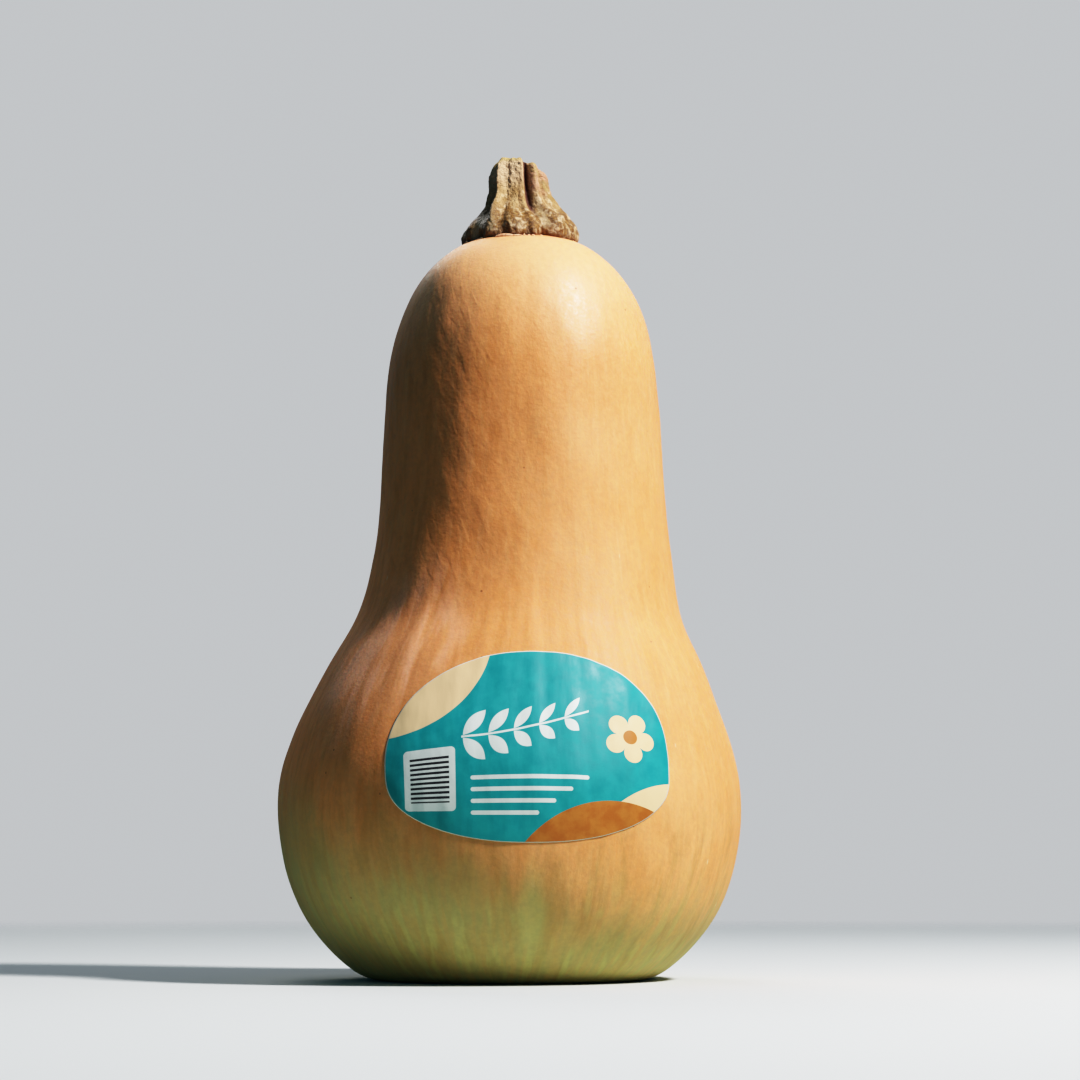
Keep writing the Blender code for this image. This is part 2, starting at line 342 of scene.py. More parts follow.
class Paint:
    """A material's node tree, with short calls for the nodes that the looks need."""

    def __init__(self, name):
        self.material = bpy.data.materials.new(name)
        self.material.use_nodes = True
        self.nodes = self.material.node_tree.nodes
        self.links = self.material.node_tree.links
        self.shader = self.nodes["Principled BSDF"]
        self.colour = None

    def put(self, socket, value):
        """Gives a socket its value. A tuple for a number stands for the rise that it describes."""
        if isinstance(value, tuple) and socket.type == "VALUE":
            value = self.rise(*value)
        if isinstance(value, bpy.types.NodeSocket):
            self.links.new(value, socket)
        elif isinstance(value, tuple) and socket.type == "RGBA":
            socket.default_value = (*value, 1)
        else:
            socket.default_value = value

    def node(self, kind, inputs, output=0, **settings):
        made = self.nodes.new(kind)
        for key, value in settings.items():
            setattr(made, key, value)
        for key, value in inputs.items():
            self.put(made.inputs[key], value)
        return made.outputs[output]

    def stored(self, name, output="Fac"):
        """What add_values stored: a number, or a place where the output is "Vector"."""
        return self.node("ShaderNodeAttribute", {}, output, attribute_name=name)

    def math(self, operation, first, second=0.0):
        return self.node("ShaderNodeMath", {0: first, 1: second}, operation=operation)

    def chain(self, operation, values):
        result, *rest = values
        for value in rest:
            result = self.math(operation, result, value)
        return result

    def product(self, *values):
        return self.chain("MULTIPLY", values)

    def largest(self, *values):
        return self.chain("MAXIMUM", values)

    def total(self, *values):
        return self.chain("ADD", values)

    def vector(self, operation, first, second=(0, 0, 0), output=0):
        inputs = {0: first, 1: second}
        return self.node("ShaderNodeVectorMath", inputs, output, operation=operation)

    def length(self, place):
        return self.vector("LENGTH", place, output="Value")

    def axis(self, place, index):
        """The X, Y or Z of a place, for an index of 0, 1 or 2."""
        return self.node("ShaderNodeSeparateXYZ", {0: place}, index)

    def stretched(self, place, share):
        """A place with its Z cut to a share, which draws a pattern out upwards."""
        return self.vector("MULTIPLY", place, (1, 1, share))

    def noise(self, place, scale, detail=2.0, roughness=0.5, distortion=0.0):
        inputs = {"Vector": place, "Scale": scale, "Detail": detail}
        inputs.update({"Roughness": roughness, "Distortion": distortion})
        return self.node("ShaderNodeTexNoise", inputs)

    def rise(self, value, low, high, bottom=0.0, top=1.0):
        """A smooth rise from bottom to top while value goes from low to high."""
        if low > high:
            low, high, bottom, top = high, low, top, bottom
        inputs = {0: value, 1: low, 2: high, 3: bottom, 4: top}
        return self.node("ShaderNodeMapRange", inputs, interpolation_type="SMOOTHSTEP")

    def mix(self, share, first, second, blend="MIX"):
        inputs = {0: share, 6: first, 7: second}
        return self.node("ShaderNodeMix", inputs, 2, data_type="RGBA", blend_type=blend)

    def cover(self, colour, *shares):
        """Lays a colour over the ones so far, as strongly as the product of the shares."""
        self.colour = self.mix(self.product(*shares), self.colour, colour)

    def bump(self, height, distance, normal=None):
        inputs = {"Height": height, "Distance": distance, "Strength": 1.0}
        if normal:
            inputs["Normal"] = normal
        return self.node("ShaderNodeBump", inputs)

    def finish(self, **inputs):
        self.put(self.shader.inputs["Base Color"], self.colour)
        for key, value in inputs.items():
            self.put(self.shader.inputs[key.replace("_", " ")], value)
        return self.material


def patch(paint, centre, reach, ragged):
    """A soft-edged patch round a point of the object: 1 in its middle and 0 outside."""
    offset = paint.vector("SUBTRACT", paint.place, centre)
    offset = paint.vector("DIVIDE", offset, reach)
    return paint.rise(paint.total(paint.length(offset), ragged), 1.25, 0.35)


def spots(paint, place, scale, radius, channel, rarity):
    """Small soft spots at some of the middles of random cells."""
    cells = {"Vector": place, "Scale": scale}
    distance = paint.node("ShaderNodeTexVoronoi", cells, "Distance")
    chance = paint.node("ShaderNodeTexVoronoi", cells, "Color")
    chance = paint.node("ShaderNodeSeparateColor", {0: chance}, channel)
    return paint.product((distance, radius, 0.03), (chance, rarity, rarity + 0.02))


SKIN_TAN = (0.90, 0.345, 0.120)
SKIN_LIGHT_TAN = (0.94, 0.395, 0.155)
# The riper tone is partly the skin's own colour and partly painted shade on the left and front.
SKIN_RIPE_AND_SHADE = (0.80, 0.28, 0.082)
SKIN_BLOTCH = (0.80, 0.28, 0.075)
SKIN_DENT = (0.70, 0.235, 0.06)
SKIN_STREAK = (0.60, 0.205, 0.045)
SKIN_STROKE = (0.58, 0.21, 0.05)
SKIN_PALE_RIB = (0.93, 0.53, 0.235)
SKIN_HAIR_LINE = (0.95, 0.60, 0.30)
SKIN_CROWN = (0.99, 0.49, 0.235)
# The rosy patch is partly the skin's own colour and partly painted light on the bulb's lit upper left.
SKIN_BLUSH_AND_LIGHT = (0.97, 0.45, 0.26)
SKIN_PALE_BACK = (0.86, 0.60, 0.29)
# The lower end's olive green is partly the skin's own and partly painted greenish bounce light from
# below.
SKIN_GREEN_AND_BOUNCE = (0.40, 0.32, 0.122)
SKIN_STAIN = (0.38, 0.215, 0.06)
SKIN_VEIN = (0.55, 0.47, 0.17)
SKIN_LIGHT_GREEN = (0.55, 0.48, 0.19)
SKIN_SPECK = (0.24, 0.095, 0.03)
SKIN_SCUFF = (0.90, 0.72, 0.46)
CORK = (0.20, 0.125, 0.06)
LIGHT_CORK = (0.46, 0.34, 0.20)
# Painted shade: a dark reddish rim on the skin where the stem sits on it.
STEM_RIM_SHADE = (0.52, 0.20, 0.08)

SOFT_DENT_DEPTH = 0.14 * MM
SKIN_GRAIN_HEIGHT = 0.055 * MM


class SkinPaint(Paint):
    """The skin's material, with the places, in centimetres, and the noises its layers share."""

    def __init__(self):
        super().__init__("squash_skin")
        self.place = self.stored("place", "Vector")
        self.meridian = self.stored("meridian", "Vector")
        self.ribs = self.stretched(self.meridian, 0.22)
        self.side = self.axis(self.place, 0)
        self.height = self.axis(self.place, 2)

        slanted = self.stored("slanted", "Vector")
        self.clouds = self.noise(self.place, 0.42, 3.0)
        self.cloudy = self.math("SUBTRACT", self.clouds, 0.5)
        self.blotches = self.noise(self.stretched(slanted, 0.6), 1.5, 3.0, 0.5, 0.6)
        self.dents = self.noise(self.stretched(slanted, 0.62), 3.0, 1.5, 0.4, 0.5)
        self.streaks = self.noise(self.ribs, 2.6, 3.0, 0.5, 0.5)
        self.strokes = self.noise(self.stretched(self.meridian, 0.14), 6.0, 3.0, 0.55, 0.2)
        self.mottle = self.noise(self.place, 7.0, 4.0, 0.7)
        self.specks = self.product(spots(self, self.place, 1.7, 0.065, 0, 0.6), 0.75)

        self.left = self.rise(self.side, 1.8, -2.2)
        self.toward_left = self.rise(self.side, 1.7, -1.7, 0.08, 1.0)
        self.neck = self.product((self.height, 7.5, 10.0), (self.height, 18.4, 16.8))
        self.scar = self.stored("scar")


def skin_ground(paint):
    """Orange tan, riper on the left and in front, partly the skin's own colour and partly painted
    shade.
    """
    paint.colour = paint.mix((paint.clouds, 0.32, 0.7), SKIN_TAN, SKIN_LIGHT_TAN)
    front = paint.rise(paint.axis(paint.place, 1), 3.0, -1.0, 0.35, 0.75)
    paint.cover(SKIN_RIPE_AND_SHADE, paint.left, front)


def skin_dents(paint):
    """Slanted blotches, and browner dents on the neck, more of both towards the left."""
    paint.cover(SKIN_BLOTCH, (paint.blotches, 0.46, 0.74), paint.toward_left, 0.4)
    dented = paint.product((paint.dents, 0.48, 0.74), (paint.blotches, 0.36, 0.60))
    paint.cover(SKIN_DENT, dented, paint.toward_left, paint.neck, 0.6)


def skin_streaks(paint):
    """Brown streaks and finer strokes, and pale ribs and hair lines, all along the squash."""
    strength = paint.total(0.08, paint.product(paint.left, 0.36))
    paint.cover(SKIN_STREAK, (paint.streaks, 0.42, 0.70), strength)
    bulb = paint.rise(paint.height, 10.5, 7.0, 0.25, 1.0)
    strength = paint.rise(paint.side, 3.5, -1.0, 0.14, 0.5)
    paint.cover(SKIN_STROKE, (paint.strokes, 0.48, 0.70), bulb, strength)
    pale = paint.noise(paint.ribs, 4.2, 2.0, 0.5, 0.3)
    paint.cover(SKIN_PALE_RIB, (pale, 0.46, 0.78), 0.16)
    hairs = paint.noise(paint.stretched(paint.meridian, 0.06), 13.0, 3.0, 0.6)
    strength = paint.rise(paint.side, 0, 2.5, 0.06, 0.16)
    paint.cover(SKIN_HAIR_LINE, (hairs, 0.44, 0.8), strength)


def skin_patches(paint):
    """The lighter crown, a rosy patch on the bulb's upper left, partly its own colour and partly
    painted light, and a pale one behind.
    """
    paint.cover(SKIN_CROWN, (paint.height, 14.8, 18.0), 0.8)
    ragged = paint.product(paint.cloudy, 1.6)
    blush_and_light = patch(paint, (-3.4, -3.6, 7.7), (2.7, 3.2, 2.4), ragged)
    paint.cover(SKIN_BLUSH_AND_LIGHT, blush_and_light, (paint.streaks, 0.62, 0.40, 0.3, 1.0), 0.85)
    behind = patch(paint, (-1.5, 5.4, 4.6), (3.2, 2.4, 3.0), ragged)
    paint.cover(SKIN_PALE_BACK, behind, 0.55)


def skin_green_end_and_bounce(paint):
    """The green lower end, higher on the left, partly the skin's own green and partly painted bounce
    light, with brown stains, veins and a lighter patch.
    """
    uneven = paint.product(paint.math("SUBTRACT", paint.streaks, 0.5), 1.6)
    uneven = paint.total(uneven, paint.product(paint.cloudy, 2.2))
    low = paint.total(paint.height, uneven)
    tilted = paint.total(low, paint.product(paint.side, 0.32))
    green_and_bounce = paint.largest((tilted, 3.9, 0.9), (low, 2.8, 0.6))
    paint.cover(SKIN_GREEN_AND_BOUNCE, green_and_bounce, (paint.strokes, 0.38, 0.66, 0.93, 0.76))
    stains = paint.noise(paint.ribs, 1.7, 4.0, 0.6, 0.5)
    paint.cover(SKIN_STAIN, (stains, 0.46, 0.66), (paint.height, 6.0, 2.5), 0.42)
    veins = paint.noise(paint.ribs, 3.4, 2.0, 0.5, 0.2)
    paint.cover(SKIN_VEIN, (veins, 0.50, 0.66), (paint.height, 3.4, 0.8), 0.35)
    lighter = patch(paint, (0.55, -4.9, 1.6), (0.4, 2.0, 1.5), paint.cloudy)
    paint.cover(SKIN_LIGHT_GREEN, lighter, 0.5)


def skin_marks(paint):
    """A fine mottle, dark specks, pale scuffs, the corky scar and a dark rim of painted shade round
    the stem.
    """
    share = paint.rise(paint.mottle, 0.3, 0.7, 0.92, 1.05)
    tone = paint.node("ShaderNodeCombineColor", {0: share, 1: share, 2: share})
    paint.colour = paint.mix(1.0, paint.colour, tone, "MULTIPLY")
    paint.cover(SKIN_SPECK, paint.specks)
    scuffs = spots(paint, paint.stretched(paint.meridian, 0.35), 2.6, 0.085, 1, 0.82)
    paint.cover(SKIN_SCUFF, scuffs, 0.5)
    paint.cover(paint.mix(paint.noise(paint.place, 14.0, 4.0), CORK, LIGHT_CORK), paint.scar)
    paint.cover(STEM_RIM_SHADE, paint.stored("stem_rim_shade"), 0.6)


def skin_roughness(paint):
    """Shinier on the shoulder, and dull on the scar."""
    rough = (paint.mottle, 0.3, 0.7, 0.41, 0.60)
    duller = (paint.height, 15.5, 11.5, 0.0, 0.18)
    return paint.total(rough, duller, paint.product(paint.scar, 0.3))


def skin_normal(paint):
    """Soft dents on the neck, and a grain of wrinkles, pores and cells all over."""
    wrinkles = paint.noise(paint.stretched(paint.place, 0.55), 6.5, 3.0, 0.6, 0.6)
    pores = paint.noise(paint.place, 15.0, 2.0, 0.6)
    cells = {"Vector": paint.place, "Scale": 10.0, "Smoothness": 0.6}
    cells = paint.node("ShaderNodeTexVoronoi", cells, "Distance", feature="SMOOTH_F1")
    grain = paint.total(paint.product(wrinkles, 0.6), paint.product(pores, 0.8))
    grain = paint.total(grain, paint.product(cells, 0.45))
    grain = paint.math("SUBTRACT", grain, paint.product(paint.specks, 0.7))
    soft = paint.product(paint.dents, paint.toward_left, paint.neck)
    return paint.bump(grain, SKIN_GRAIN_HEIGHT, paint.bump(soft, -SOFT_DENT_DEPTH))


def skin_material():
    paint = SkinPaint()
    for add_layer in (skin_ground, skin_dents, skin_streaks, skin_patches, skin_green_end_and_bounce, skin_marks):
        add_layer(paint)
    return paint.finish(
        Roughness=skin_roughness(paint),
        Normal=skin_normal(paint),
        Subsurface_Weight=0.25,
        Subsurface_Radius=(1.0, 0.36, 0.12),
        Subsurface_Scale=1.5 * MM,
        Coat_Weight=0.03,
        Coat_Roughness=0.34,
        Specular_IOR_Level=0.42,
    )


def skin_rings():
    """The lengths from the blossom scar at which the skin has its rings of points."""
    base_end = SKIN_ALONG[BASE_STEPS - 1]
    flank_start = SKIN_ALONG[BASE_STEPS]
    base = np.linspace(0, base_end, SKIN_BASE_RINGS, endpoint=False)[1:]
    contact = np.linspace(base_end, flank_start, SKIN_CONTACT_RINGS, endpoint=False)
    flank = np.linspace(flank_start, SKIN_ALONG[-1], SKIN_FLANK_RINGS)[:-1]
    return np.concatenate([base, contact, flank])


def unrolled(turn, length):
    """Places in centimetres that follow the skin: round a circle by turn, and up by length."""
    across, depth = np.cos(turn) * PATTERN_RADIUS, np.sin(turn) * PATTERN_RADIUS
    return np.stack([across, depth, length * CM_PER_M], -1)


def make_skin():
    """The whole fruit as one fine closed mesh, on the solid's own surface."""
    angle = np.arange(SKIN_SEGMENTS) * 2 * math.pi / SKIN_SEGMENTS
    turn, length = np.meshgrid(angle, skin_rings())
    points, out = skin_surface(turn, length)
    points = points + out * skin_relief(turn, length)[..., None]
    poles = points[[0, -1]].mean(axis=1)
    mesh = turned_mesh("squash_skin", points, poles)

    scar = 1 - smoothstep(length, SCAR_RADIUS * 0.7, SCAR_RADIUS * 1.05)
    from_stem = np.hypot(points[..., 0] - STEM_CENTRE[0], points[..., 1] - STEM_CENTRE[1])
    # The rim round the stem carries painted shade where the stem sits on the skin.
    rim_shade = (1 - smoothstep(from_stem, *STEM_RIM_SHADE_REACH)) * (points[..., 2] > LEAN_TO)
    lean = turn + DENT_SLANT * length
    ends = [(0, 0, 0), (0, 0, SKIN_ALONG[-1] * CM_PER_M)]
    add_values(mesh, "place", points * CM_PER_M, poles * CM_PER_M)
    add_values(mesh, "meridian", unrolled(turn, length), ends)
    add_values(mesh, "slanted", unrolled(lean, length), ends)
    add_values(mesh, "scar", scar, [1, 0])
    add_values(mesh, "stem_rim_shade", rim_shade, [0, 1])
    return add_piece("skin", mesh, skin_material(), "skin", "squash_body")


def groove_at(direction):
    """Share of the stem's radius that its grooves take away in a direction, in degrees."""
    taken = 0
    for middle, depth, half_width in STEM_GROOVES:
        off = (direction - middle + 180) % 360 - 180
        taken = taken + depth * np.exp(-((off / half_width) ** 2))
    return taken


# Fine relief of the stem. Between its ridges the faces are flat, and a foot of knobs carries it.
# A knob is its direction and half its width, in degrees, and its height on the stem, half its own
# height and how far it bulges, in millimetres. Those that bulge inwards are dips.
STEM_RIDGES = [7, 31, 68, 106, 142, 178, 213, 247, 283, 323]
FACE_FLATNESS = 1.5
STEM_KNOBS = [
    (-40, 8, 14.0, 8.0, 1.0), (2, 11, 14.0, 8.0, -0.7), (-27, 5, 5.5, 3.2, -0.8),
    (1, 5, 4.6, 3.2, -0.9), (27, 5, 5.2, 3.2, -0.9), (54, 5, 5.6, 3.2, -0.8),
    (-38, 9, 6.6, 2.5, 1.2), (-15, 13, 4.4, 2.7, 1.2), (15, 9, 3.2, 2.4, 1.2),
    (38, 13, 5.0, 2.5, 1.4), (70, 8, 5.6, 3.4, 0.5), (115, 15, 4.4, 2.8, 0.8),
    (163, 14, 5.2, 2.8, 0.9), (214, 15, 4.2, 2.8, 0.9), (258, 12, 5.4, 2.6, 0.7),
    (294, 10, 4.0, 2.4, 0.8),
]
FIBRE_DEPTH = 0.16 * MM
WART_DEPTH = 0.5 * MM
GRAIN_DEPTH = 0.16 * MM
STEM_SINK = 0.5 * MM
STEM_SINK_HEIGHT = 3 * MM

# The broken top, across the stem from left to right: (place, drop) in millimetres.
BREAK_LINE = [
    (-7.4, 2.7), (-6.3, 1.1), (-4.7, 0.0), (-0.1, 0.1), (0.8, 0.9), (1.8, 1.5), (2.5, 1.2),
    (3.6, 1.1), (4.2, 1.5), (4.6, 2.5), (6.2, 2.8), (7.1, 3.6),
]
BREAK_LENGTH = 6 * MM
BREAK_SKEW = 0.12
BREAK_ROUGHNESS = 0.5 * MM
BREAK_ROUGH_LENGTH = 2.2 * MM


def face_share(direction):
    """The share of the ridges' radius that the flat faces between them keep."""
    ridges = np.array([*STEM_RIDGES, STEM_RIDGES[0] + 360], float)
    turned = (direction - ridges[0]) % 360 + ridges[0]
    face = np.clip(np.searchsorted(ridges, turned, side="right") - 1, 0, len(ridges) - 2)
    half = np.radians((ridges[face + 1] - ridges[face]) / 2)
    off = np.radians(turned) - np.radians(ridges[face]) - half
    return (np.cos(half) / np.cos(off)) ** FACE_FLATNESS


def knobs_at(direction, height):
    """How far the foot's knobs stand out."""
    out = 0
    for middle, half_width, level, half_height, bulge in STEM_KNOBS:
        off = (direction - middle + 180) % 360 - 180
        above = (height - level * MM) / (half_height * MM)
        out = out + bulge * MM * np.exp(-((off / half_width) ** 2) - above**2)
    return out


def fibres_at(facing, height):
    """Long fibres, coarse and fine, that run up the stem."""
    coarse = round_noise(facing, 5.5, height / (9 * MM))
    return coarse + 0.6 * round_noise(facing, 13, height / (5 * MM) + 7)


def warts_and_grains_at(facing, radius, height):
    """Lumps of about 2 mm and of about 1 mm, and grains of about half a millimetre."""
    x = np.cos(facing) * radius / MM
    y = np.sin(facing) * radius / MM
    z = height / MM
    warts = noise_at(x / 2.4, y / 2.4, z / 2.4) + 0.6 * noise_at(x / 1.1, y / 1.1, z / 1.1)
    return warts, noise_at(x / 0.55, y / 0.55, z / 0.8)


def stem_radius(direction, radius, height, upright):
    """The outline's radius once its grooves, faces, knobs, fibres and warts are cut in."""
    facing = np.radians(direction)
    fibres = fibres_at(facing, height)
    warts, grains = warts_and_grains_at(facing, radius, height)
    side = smoothstep(radius, 3.5 * MM, 6 * MM)
    share = FOOT_GROOVE_SHARE + (1 - FOOT_GROOVE_SHARE) * upright
    out = radius * (1 - groove_at(direction) * share)
    out = out * (1 - (1 - face_share(direction)) * upright * side)
    out = out + knobs_at(direction, height) * side
    out = out + side * FIBRE_DEPTH * (fibres - 0.5) * (0.35 + 0.65 * upright)
    out = out + side * WART_DEPTH * (warts - 0.4) * (1 - 0.72 * upright)
    return out + side * GRAIN_DEPTH * grains


def break_drop(across, depth, height):
    """How far the broken top lies below an even cut."""
    places, drops = np.transpose(BREAK_LINE) * MM
    drop = np.interp(across + depth * BREAK_SKEW, places, drops)
    drop = drop * smoothstep(height, STEM_HEIGHT - BREAK_LENGTH, STEM_HEIGHT)
    ragged = noise_at(across / (1.1 * MM), depth / (1.1 * MM), 3.0)
    ragged = ragged + 0.5 * noise_at(across / (3.5 * MM), depth / (3.5 * MM), 8.0)
    at_cut = smoothstep(height, STEM_HEIGHT - BREAK_ROUGH_LENGTH, STEM_HEIGHT)
    return drop + BREAK_ROUGHNESS * np.clip(ragged, 0, 1) * at_cut


def stem_direction(angle, upright):
    """The direction in degrees of points round the stem, whose foot is twisted."""
    return np.degrees(angle) + STEM_TWIST * (1 - upright) + 90


def stem_points(angle, radius, height):
    """Points of the stem from its turned outline, on the crown of the fruit."""
    upright = smoothstep(height, 0, FOOT_HEIGHT)
    out = stem_radius(stem_direction(angle, upright), radius, height, upright)
    across = np.cos(angle) * out
    depth = np.sin(angle) * out
    flare = FLARE_RIGHT * np.exp(-(((height - FLARE_MIDDLE) / FLARE_LENGTH) ** 2))
    across = across + np.where(across > 0, flare * across / np.maximum(radius, 1e-6), 0)
    x = STEM_CENTRE[0] + across + STEM_LEAN * height / STEM_HEIGHT
    y = STEM_CENTRE[1] + depth
    seat = crown_height(np.hypot(x - LEAN_RIGHT, y - LEAN_BACK))
    level = seat * (1 - upright) + SKIN_TOP * upright
    sunk = STEM_SINK * (1 - smoothstep(height, 0, STEM_SINK_HEIGHT))
    z = height - break_drop(across, depth, height) + level - sunk
    return np.stack([x, y, z], axis=-1)


STEM_BROWN = (0.40, 0.225, 0.08)
STEM_STRAW = (0.62, 0.39, 0.185)
STEM_OLIVE = (0.44, 0.33, 0.10)
STEM_SHADED = (0.34, 0.21, 0.07)
STEM_BLEACHED = (0.90, 0.62, 0.40)
STEM_ROSY = (0.62, 0.30, 0.21)
STEM_STREAK = (0.22, 0.095, 0.025)
STEM_FOOT = (0.17, 0.072, 0.014)
STEM_GOLD = (0.46, 0.24, 0.05)
# The frost is partly the stem's own pale bloom and partly painted glints on the foot's knobs.
STEM_FROST_AND_GLINT = (0.92, 0.67, 0.42)
STEM_PIT = (0.16, 0.075, 0.025)
STEM_PALE_FIBRE = (0.86, 0.64, 0.38)
STEM_GROOVE = (0.085, 0.022, 0.009)
# Painted shade on the stem's left side, turned from the lamp.
STEM_LEFT_SHADE = (0.12, 0.055, 0.018)
# Painted shade along the seam where the stem's foot meets the fruit.
STEM_SEAM_SHADE = (0.09, 0.03, 0.010)
CUT_TAN = (0.40, 0.26, 0.10)
CUT_CREAM = (0.68, 0.52, 0.28)
CUT_BARK = (0.33, 0.26, 0.08)
CUT_PITH = (0.17, 0.09, 0.03)
STEM_GRAIN_HEIGHT = 0.25 * MM


class StemPaint(Paint):
    """The stem's material, with the places, in centimetres, and the noises its layers share."""

    def __init__(self):
        super().__init__("stem_wood")
        self.place = self.stored("place", "Vector")
        self.fibre = self.stored("fibre", "Vector")
        self.high = self.stored("high")
        self.side = self.axis(self.place, 0)
        self.patches = self.noise(self.place, 3.2, 4.0, 0.6)
        self.grains = self.noise(self.place, 15.0, 3.0, 0.65)
        self.lines = self.noise(self.stretched(self.fibre, 0.1), 7.0, 2.0)


def stem_shaft(paint):
    """Brown and straw, with olive, darker, bleached and rosy areas on the upper part."""
    high, side = paint.high, paint.side
    paint.colour = paint.mix((paint.patches, 0.4, 0.6), STEM_BROWN, STEM_STRAW)
    olive = paint.product((paint.noise(paint.fibre, 1.5, 3.0), 0.52, 0.68), 0.25)
    paint.cover(STEM_OLIVE, paint.largest(olive, (high, 0.90, 0.97, 0, 0.5)))
    paint.cover(STEM_SHADED, (side, 0.3, 0.9), (high, 0.35, 0.6), 0.65)
    upper = paint.product((high, 0.55, 0.78), (high, 0.98, 0.92))
    paint.cover(STEM_BLEACHED, upper, (side, 0.6, 0.1), 0.72)
    rosy = paint.product((side, 0.1, 0.6), (high, 0.4, 0.65))
    paint.cover(STEM_ROSY, rosy, (paint.noise(paint.place, 3.5, 2.0), 0.40, 0.58), 0.6)


def stem_foot(paint):
    """Dark streaks and a dark foot, with gold patches, frosty patches that are partly painted glints,
    pits and pale fibres.
    """
    high, grains = paint.high, paint.grains
    streaks = paint.noise(paint.stretched(paint.fibre, 0.22), 4.2, 3.0, 0.6)
    low = paint.rise(high, 0.62, 0.32)
    paint.cover(STEM_STREAK, (streaks, 0.48, 0.6), low, 0.8)
    darkest = paint.rise(paint.patches, 0.74, 0.52, 0.5, 1.0)
    paint.cover(STEM_FOOT, (high, 0.46, 0.24), darkest)
    paint.cover(STEM_GOLD, (grains, 0.48, 0.6), (high, 0.5, 0.25), 0.5)
    # Partly painted glints: the frosty patches, more on the side toward the lamp.
    frost_and_glint = paint.rise(paint.noise(paint.place, 6.0, 2.5, 0.55), 0.50, 0.68)
    frost_and_glint = paint.product(frost_and_glint, (paint.side, -0.9, -0.1, 0.1, 0.6))
    paint.cover(STEM_FROST_AND_GLINT, frost_and_glint, (high, 0.68, 0.42, 0.3, 1.0))
    paint.cover(STEM_PIT, (grains, 0.42, 0.32), 0.3)
    paint.cover(STEM_PALE_FIBRE, (paint.lines, 0.55, 0.68), low, 0.35)


def stem_hollows_and_shade(paint):
    """Dark grooves, painted shade on the left side and a dark seam, also painted shade, where the foot
    meets the fruit.
    """
    paint.cover(STEM_GROOVE, (paint.stored("groove"), 0.4, 0.9))
    # Painted shade: darkens the stem's left side, turned from the lamp.
    paint.cover(STEM_LEFT_SHADE, (paint.side, -0.2, -0.7), (paint.high, 0.1, 0.3), 0.68)
    # Painted shade: darkens the seam where the foot meets the fruit.
    paint.cover(STEM_SEAM_SHADE, (paint.high, 0.1, 0.0, 0.0, 0.8))


def stem_cut_face(paint):
    """The broken end, with a bark-coloured rim and a dark pith."""
    core = paint.stored("core")
    face = paint.mix((paint.grains, 0.35, 0.65), CUT_TAN, CUT_CREAM)
    face = paint.mix((core, 0.78, 1.0, 0.0, 0.7), face, CUT_BARK)
    face = paint.mix((core, 0.45, 0.15, 0.0, 0.8), face, CUT_PITH)
    paint.cover(face, paint.stored("cut"))


def stem_material():
    paint = StemPaint()
    for add_layer in (stem_shaft, stem_foot, stem_hollows_and_shade, stem_cut_face):
        add_layer(paint)
    fine = paint.noise(paint.place, 34.0, 3.0, 0.7)
    relief = paint.total(paint.grains, paint.product(paint.lines, 0.5), fine)
    return paint.finish(
        Roughness=(paint.high, 0.2, 0.6, 0.38, 0.8),
        Normal=paint.bump(relief, STEM_GRAIN_HEIGHT),
        Specular_IOR_Level=0.48,
    )


def stem_rings():
    """(Height, radius) of the stem's rings: under its foot, up its side and into the cut."""
    side = smooth_line(STEM_OUTLINE, STEM_SIDE_RINGS) * MM
    foot_radius, top_radius = side[0, 1], side[-1, 1]
    foot = [(0, foot_radius * share) for share in np.linspace(0.3, 0.97, STEM_FOOT_RINGS)]
    cut = [
        (STEM_HEIGHT - PITH_DEPTH * (1 - share**2) * 1.25, top_radius * share)
        for share in np.linspace(0.97, 0.05, STEM_CUT_RINGS)
    ]
    return np.array([*foot, *side, *cut])


def make_stem():
    """The dry stem with its flared foot, grooves, fibres and broken cut."""
    rings = stem_rings()
    angle = np.arange(STEM_SEGMENTS) * 2 * math.pi / STEM_SEGMENTS
    turn, height = np.meshgrid(angle, rings[:, 0])
    radius = np.broadcast_to(rings[:, 1][:, None], turn.shape)
    points = stem_points(turn, radius, height)
    poles = points[[0, -1]].mean(axis=1)
    mesh = turned_mesh("dry_stem", points, poles)

    direction = stem_direction(turn, smoothstep(height, 0, FOOT_HEIGHT))
    deepest = max(depth for _, depth, _ in STEM_GROOVES)
    groove = groove_at(direction) / deepest * smoothstep(radius, 3 * MM, 6 * MM)
    groove = groove * (0.25 + 0.75 * smoothstep(height, 2 * MM, 8 * MM))
    facing = np.radians(direction)
    fibre = np.stack([np.cos(facing), np.sin(facing), height * CM_PER_M], -1)
    ring = np.arange(len(rings))[:, None] + np.zeros_like(turn)
    cut_start = STEM_FOOT_RINGS + STEM_SIDE_RINGS
    core = np.clip(radius / (STEM_OUTLINE[-1][1] * MM), 0, 1)
    add_values(mesh, "place", points * CM_PER_M, poles * CM_PER_M)
    add_values(mesh, "fibre", fibre, [(0, 0, 0), (0, 0, 2)])
    add_values(mesh, "groove", groove, [0, 0.4])
    add_values(mesh, "high", height / STEM_HEIGHT, [0, 1])
    add_values(mesh, "cut", smoothstep(ring, cut_start - 3, cut_start + 1), [0, 1])
    add_values(mesh, "core", core, [0, 0])
    return add_piece("dry_stem", mesh, stem_material(), "stem", "stem")


